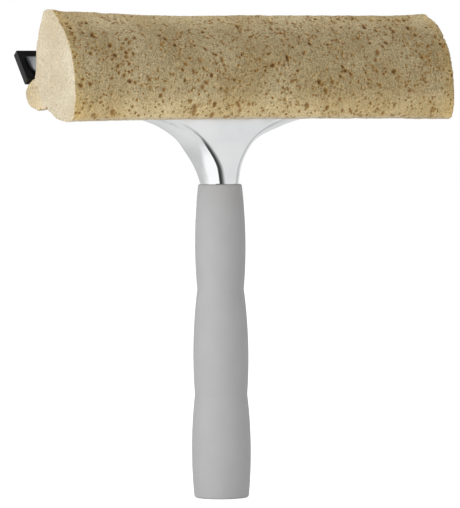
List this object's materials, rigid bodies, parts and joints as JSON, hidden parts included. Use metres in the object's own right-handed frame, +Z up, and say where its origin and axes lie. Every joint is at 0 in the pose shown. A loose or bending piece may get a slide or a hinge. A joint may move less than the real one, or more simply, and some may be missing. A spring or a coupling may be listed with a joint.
{
  "type": "window squeegee",
  "caption": "Window squeegee with a round-fronted sponge, a rubber blade behind it, a polished aluminium neck and a soft three-lobed grey grip.",
  "frame": {"origin": "centre of the grip's flat butt", "axes": "+Z up the handle to the head, +X along the head to the right as seen from the sponge side, -Y out through the sponge, +Y to the blade side"},
  "size_m": [0.234, 0.0681, 0.2561],
  "materials": {
    "cast_aluminium": "polished",
    "stainless": "satin",
    "blade_rubber": "satin",
    "sponge_foam": "matte",
    "backing_plastic": "satin",
    "core_plastic": "satin",
    "grip_rubber": "matte"
  },
  "bodies": {
    "root": {"head_casting": "cast_aluminium", "clamp_jaw": "stainless", "jaw_screw_1": "stainless", "jaw_screw_2": "stainless", "jaw_screw_3": "stainless", "jaw_washer_1": "stainless", "jaw_washer_2": "stainless", "jaw_washer_3": "stainless", "sponge_stud_1": "stainless", "sponge_stud_2": "stainless", "sponge_stud_3": "stainless", "sponge_stud_4": "stainless", "handle_core": "core_plastic", "grip_sleeve": "grip_rubber", "tang_bolt": "stainless", "tang_washer": "stainless", "butt_plug": "grip_rubber"},
    "sponge_unit": {"sponge": "sponge_foam", "sponge_backing": "backing_plastic"},
    "blade": {"rubber_blade": "blade_rubber"}
  },
  "joints": [
    {"name": "sponge_pull", "type": "slide", "parent": "root", "child": "sponge_unit", "axis": [0, -1, 0], "range_m": [0, 0.03]},
    {"name": "blade_slide", "type": "slide", "parent": "root", "child": "blade", "axis": [1, 0, 0], "range_m": [0, 0.24]}
  ]
}
